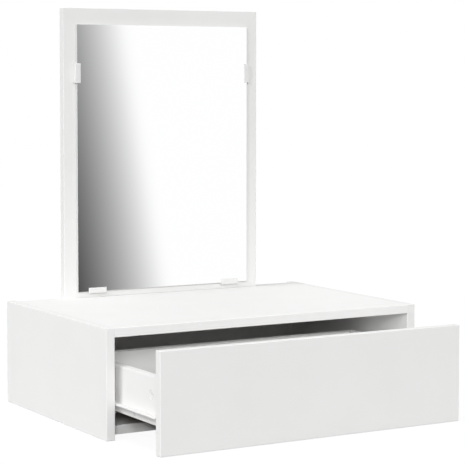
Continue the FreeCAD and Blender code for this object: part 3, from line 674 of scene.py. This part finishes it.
# %% [markdown]
# ## Plated steel
#
# Screws, bolts and pins are steel with a bright zinc plate. The plate is never one grey: it clouds from blue
# to straw within a few millimetres, and that cloud is also where it is smoother or duller.

# %% Finish the plated steel
PLATE_BLUE = (0.66, 0.69, 0.73)
PLATE_STRAW = (0.76, 0.73, 0.66)
PLATE_CLOUD = 6 * MM
PLATE_ROUGH = 0.22
PLATE_ROUGHER = 0.16
PLATE_GRAIN = 0.4 * MM
PLATE_DEPTH = 0.006 * MM

material, place, shader = new_finish("plated_steel", Metallic=1.0)
cloud = speckle(place, PLATE_CLOUD)
dress(
    shader,
    Base_Color=two_tones(cloud, PLATE_BLUE, PLATE_STRAW),
    Roughness=PLATE_ROUGH + PLATE_ROUGHER * cloud,
    Normal=relief(speckle(place, PLATE_GRAIN), PLATE_DEPTH),
)
wear(material, "clip_screws", "drawer_back_screws", "cabinet_runner_screws", "drawer_runner_screws")
wear(material, "front_roller_pins", "rear_roller_pins", "cabinet_cam_bolts", "drawer_cam_bolts")

# %% [markdown]
# ## Cams
#
# The cams that pull the boards together are cast in zinc and lacquered white, so that they hardly show on the
# board. The grain of the casting comes through the lacquer, and that is all that sets them off.

# %% Finish the cams
CAM_SHADE = (0.78, 0.78, 0.77)
CAM_WHITE = (0.84, 0.84, 0.83)
CAM_CLOUD = 5 * MM
CAM_ROUGH = 0.40
CAST = 0.4 * MM
CAST_ROUGHER = 0.15
CAST_DEPTH = 0.02 * MM

material, place, shader = new_finish("white_zinc", Specular_IOR_Level=0.45)
cast = speckle(place, CAST)
dress(
    shader,
    Base_Color=two_tones(speckle(place, CAM_CLOUD), CAM_SHADE, CAM_WHITE),
    Roughness=CAM_ROUGH + CAST_ROUGHER * cast,
    Normal=relief(cast, CAST_DEPTH),
)
wear(material, "cabinet_cam_locks", "drawer_cam_locks")

# %% [markdown]
# ## Dowels
#
# The dowels are turned from beech. A wave of rings round the table's origin is so large beside a dowel that
# it crosses one as nearly straight lines, which is how the grain of a small stick looks, and a little
# distortion keeps the lines from being ruled.

# %% Finish the dowels
BEECH_DARK = (0.50, 0.33, 0.19)
BEECH_LIGHT = (0.63, 0.45, 0.28)
BEECH_ROUGH = 0.60
RING = 1.1 * MM
RING_ROUGHER = 0.15
RING_DEPTH = 0.03 * MM

material, place, shader = new_finish("beech", Specular_IOR_Level=0.3)
rings = {"Vector": place, "Scale": 1.0 / RING, "Distortion": 4.0, "Detail": 3.0}
grain = place.node("ShaderNodeTexWave", {"wave_type": "RINGS", "rings_direction": "SPHERICAL"}, rings)
dress(
    shader,
    Base_Color=two_tones(grain, BEECH_DARK, BEECH_LIGHT, all_first=0.2, all_second=0.8),
    Roughness=BEECH_ROUGH + RING_ROUGHER * grain,
    Normal=relief(grain, RING_DEPTH),
)
wear(material, "cabinet_dowels", "drawer_dowels")

# %% [markdown]
# ## Turned fittings
#
# A screw or a cam is a body of revolution with a recess for the driver. Its profile is written as pairs of
# radius and height, outermost point first, and spun round the axis. Cylinders stacked on each other would
# need joining, and a spun profile is one closed mesh from the start. These meshes are made in millimetres,
# with the outer face at height 0, and scaled when they are set in their places.

# %% Spin a profile
AROUND = 32


def turned_mesh(name, profile):
    """Spin pairs of radius and height round the Z axis. The first and the last lie on the axis."""
    mesh = bmesh.new()
    rings = []
    for radius, height in profile:
        steps = AROUND if radius > 0.0 else 1
        angles = [2.0 * math.pi * step / AROUND for step in range(steps)]
        rings.append([mesh.verts.new((radius * math.cos(a), radius * math.sin(a), height)) for a in angles])
    for upper, lower in zip(rings, rings[1:]):
        for step in range(AROUND):
            after = (step + 1) % AROUND
            corners = [upper[step % len(upper)], lower[step % len(lower)], lower[after % len(lower)],
                       upper[after % len(upper)]]
            mesh.faces.new(list(dict.fromkeys(corners)))
    bmesh.ops.recalc_face_normals(mesh, faces=mesh.faces)
    made = bpy.data.meshes.new(name)
    mesh.to_mesh(made)
    mesh.free()
    return made


print("profiles are spun in", AROUND, "steps")

# %% [markdown]
# ## Driver recesses
#
# A recess is a tapered cutter taken out with a Boolean, because its flat walls would need far too fine a mesh
# if they were pressed into the head. A cutter has an outline at its top and one at its bottom, and stands a
# little over the face, so that no two faces lie in one plane.

# %% Cut a recess
OVER = 0.2


def tapered_mesh(name, upper, lower, top, bottom):
    """A closed cutter between two outlines of as many points at two heights."""
    count = len(upper)
    points = [(x, y, top) for x, y in upper] + [(x, y, bottom) for x, y in lower]
    walls = [(i, i + count, (i + 1) % count + count, (i + 1) % count) for i in range(count)]
    made = bpy.data.meshes.new(name)
    made.from_pydata(points, [], walls + [tuple(range(count)), tuple(reversed(range(count, 2 * count)))])
    mesh = bmesh.new()
    mesh.from_mesh(made)
    bmesh.ops.recalc_face_normals(mesh, faces=mesh.faces)
    mesh.to_mesh(made)
    mesh.free()
    return made


def cross(reach, half):
    """The twelve corners of a cross with arms of one reach and half width."""
    quarter = [(reach, half), (half, half), (half, reach)]
    turns = [(1, 0), (0, 1), (-1, 0), (0, -1)]
    return [(x * c - y * s, x * s + y * c) for c, s in turns for x, y in quarter]


def hexagon(radius):
    """The six corners of a hexagon."""
    turns = [math.pi / 3 * corner for corner in range(6)]
    return [(radius * math.cos(turn), radius * math.sin(turn)) for turn in turns]


def cut_out(body, cutters):
    """Take cutters out of a mesh with exact Booleans, and return the mesh that is left."""
    holder = bpy.data.objects.new("holder", body)
    scene.collection.objects.link(holder)
    tools = []
    for cutter in cutters:
        tool = bpy.data.objects.new("tool", cutter)
        scene.collection.objects.link(tool)
        tools.append(tool)
        boolean = holder.modifiers.new("cut", "BOOLEAN")
        boolean.operation = "DIFFERENCE"
        boolean.solver = "EXACT"
        boolean.object = tool
    bpy.context.view_layer.update()
    left = bpy.data.meshes.new_from_object(holder.evaluated_get(bpy.context.evaluated_depsgraph_get()))
    for used in tools + [holder]:
        bpy.data.objects.remove(used)
    print(left.name, "has", len(left.polygons), "faces")
    return left


print("crosses and hexagons are ready to cut")

# %% [markdown]
# ## Runner screw
#
# The runners are fixed with short screws that have a low domed head and a cross recess. The dome is five
# points of the profile, which is as round as a head of 7 mm shows in any picture.

# %% Make the runner screw
RUNNER_HEAD = 3.5
RUNNER_HEAD_UNDER = -1.2
RUNNER_SHANK = 2.0
RUNNER_SHANK_END = -10.2
RUNNER_POINT = -13.2
RUNNER_DOME = [(0, 0), (1.3, -0.05), (2.5, -0.25), (3.2, -0.6), (RUNNER_HEAD, -1.0)]
RUNNER_STEM = [(RUNNER_HEAD, RUNNER_HEAD_UNDER), (RUNNER_SHANK, RUNNER_HEAD_UNDER),
               (RUNNER_SHANK, RUNNER_SHANK_END), (0, RUNNER_POINT)]

runner_recess = tapered_mesh("recess", cross(reach=2.0, half=0.38), cross(reach=0.7, half=0.25),
                             top=OVER, bottom=-1.7)
runner_screw_mesh = cut_out(turned_mesh("runner_screw", RUNNER_DOME + RUNNER_STEM), [runner_recess])

# %% [markdown]
# ## Screw of the drawer's back
#
# The drawer's back is held by long screws that lie flush in the sides. Their heads are flat with a small
# bevel, taper into the shank, and have a six-sided socket, as such furniture screws do.

# %% Make the back's screw
BACK_HEAD = 4.5
BACK_FACE = 4.1
BACK_BEVEL_END = -0.4
BACK_HEAD_UNDER = -1.2
BACK_SHANK = 2.5
BACK_SHANK_TOP = -3.0
BACK_SHANK_END = -37.0
BACK_POINT = -40.0
BACK_TOP = [(0, 0), (BACK_FACE, 0), (BACK_HEAD, BACK_BEVEL_END), (BACK_HEAD, BACK_HEAD_UNDER)]
BACK_STEM = [(BACK_SHANK, BACK_SHANK_TOP), (BACK_SHANK, BACK_SHANK_END), (0, BACK_POINT)]

back_socket = tapered_mesh("socket", hexagon(radius=2.31), hexagon(radius=2.2), top=OVER, bottom=-2.2)
back_screw_mesh = cut_out(turned_mesh("back_screw", BACK_TOP + BACK_STEM), [back_socket])

# %% [markdown]
# ## Cam
#
# A cam is a short drum with a bevel at both ends, a cross for the driver, and an arrow that points to its
# mouth, the slot in its side that takes hold of the bolt's head. All three are cutters on one drum.

# %% Make the cam
CAM_RADIUS = 7.5
CAM_FACE = 6.9
CAM_BEVEL = 0.6
CAM_BOTTOM = -12.2
CAM_DRUM = [(0, 0), (CAM_FACE, 0), (CAM_RADIUS, -CAM_BEVEL), (CAM_RADIUS, CAM_BOTTOM + CAM_BEVEL),
            (CAM_FACE, CAM_BOTTOM), (0, CAM_BOTTOM)]
ARROW_TOP = [(6.2, 0.0), (5.0, 0.8), (5.0, -0.8)]
ARROW_BOTTOM = [(6.0, 0.0), (5.1, 0.6), (5.1, -0.6)]
MOUTH = [(9, 3.5), (-2, 3.5), (-2, -3.5), (9, -3.5)]

cam_recess = tapered_mesh("recess", cross(reach=3.6, half=0.75), cross(reach=1.4, half=0.45),
                          top=OVER, bottom=-4.0)
cam_arrow = tapered_mesh("arrow", ARROW_TOP, ARROW_BOTTOM, top=OVER, bottom=-0.4)
cam_mouth = tapered_mesh("mouth", MOUTH, MOUTH, top=-3.7, bottom=-10.7)
cam_mesh = cut_out(turned_mesh("cam", CAM_DRUM), [cam_recess, cam_arrow, cam_mouth])

# %% [markdown]
# ## Where the fittings sit
#
# Each group of fittings was built as separate solids, so their places can be read from it and need not be
# written a second time. The points of a screw crowd to its head, and those of a cam to its mouth and a little
# away from its face: how far their mean lies from the middle of their box says which way each one looks.

# %% Read the seats
WELD = 0.01 * MM


def solids_of(node_name):
    """The points of each separate solid of a built piece."""
    mesh = bmesh.new()
    mesh.from_mesh(nodes[node_name].data)
    bmesh.ops.remove_doubles(mesh, verts=mesh.verts, dist=WELD)
    seen = set()
    solids = []
    for first in mesh.verts:
        if first in seen:
            continue
        seen.add(first)
        found = [first]
        for vertex in found:
            near = [edge.other_vert(vertex) for edge in vertex.link_edges]
            found += [other for other in dict.fromkeys(near) if other not in seen]
            seen.update(near)
        solids.append([vertex.co.copy() for vertex in found])
    mesh.free()
    return solids


def seat(points, kind):
    """Where a fitting's outer face is, as a matrix whose Z looks out and whose X is a cam's mouth."""
    low = Vector([min(point[axis] for point in points) for axis in range(3)])
    high = Vector([max(point[axis] for point in points) for axis in range(3)])
    middle = (low + high) / 2
    lean = sum(points, Vector()) / len(points) - middle
    axes = sorted(range(3), key=lambda axis: -abs(lean[axis]))
    ways = [Vector([math.copysign(1.0, lean[i]) if i == axis else 0.0 for i in range(3)]) for axis in axes]
    outward, across = (-ways[1], ways[0]) if kind == "cam" else (ways[0], Vector((0, 0, 1)))
    reach = abs(outward.dot(high - low)) / 2
    turn = Matrix((across, outward.cross(across), outward)).transposed().to_4x4()
    return Matrix.Translation(middle + outward * reach) @ turn @ Matrix.Scale(MM, 4)


print("drawer runner screws to seat:", len(solids_of("drawer_runner_screws")))

# %% [markdown]
# ## Fittings in their places
#
# Each group becomes one piece again, with a copy of the turned mesh at every seat. The copies could be linked
# objects, but one mesh per group moves with its body as a whole and takes the finish that the group wears.

# %% Set the fittings
FITTINGS = (
    ("cabinet_runner_screws", "screw", runner_screw_mesh, "cabinet", "plated_steel"),
    ("drawer_runner_screws", "screw", runner_screw_mesh, "drawer", "plated_steel"),
    ("drawer_back_screws", "screw", back_screw_mesh, "drawer", "plated_steel"),
    ("cabinet_cam_locks", "cam", cam_mesh, "cabinet", "white_zinc"),
    ("drawer_cam_locks", "cam", cam_mesh, "drawer", "white_zinc"),
)

for group, kind, pattern, carrier, metal in FITTINGS:
    gathered = bmesh.new()
    seats = [seat(points, kind) for points in solids_of(group)]
    for spot in seats:
        copy = pattern.copy()
        copy.transform(spot)
        gathered.from_mesh(copy)
        bpy.data.meshes.remove(copy)
    group_mesh = bpy.data.meshes.new(f"{group}_driven")
    gathered.to_mesh(group_mesh)
    gathered.free()
    piece = bpy.data.objects.new(f"{group}_driven", group_mesh)
    scene.collection.objects.link(piece)
    piece.data.materials.append(nodes[group].material_slots[0].material)
    piece.visible_glossy = False
    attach(piece, carrier)
    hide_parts(group)
    print(group, len(seats), "fittings")

# %% [markdown]
# ## Colour view
#
# The Standard view shows each colour as it is mixed above, where a film-like view would grey the whites.

# %% Set the colour view
scene.view_settings.view_transform = "Standard"
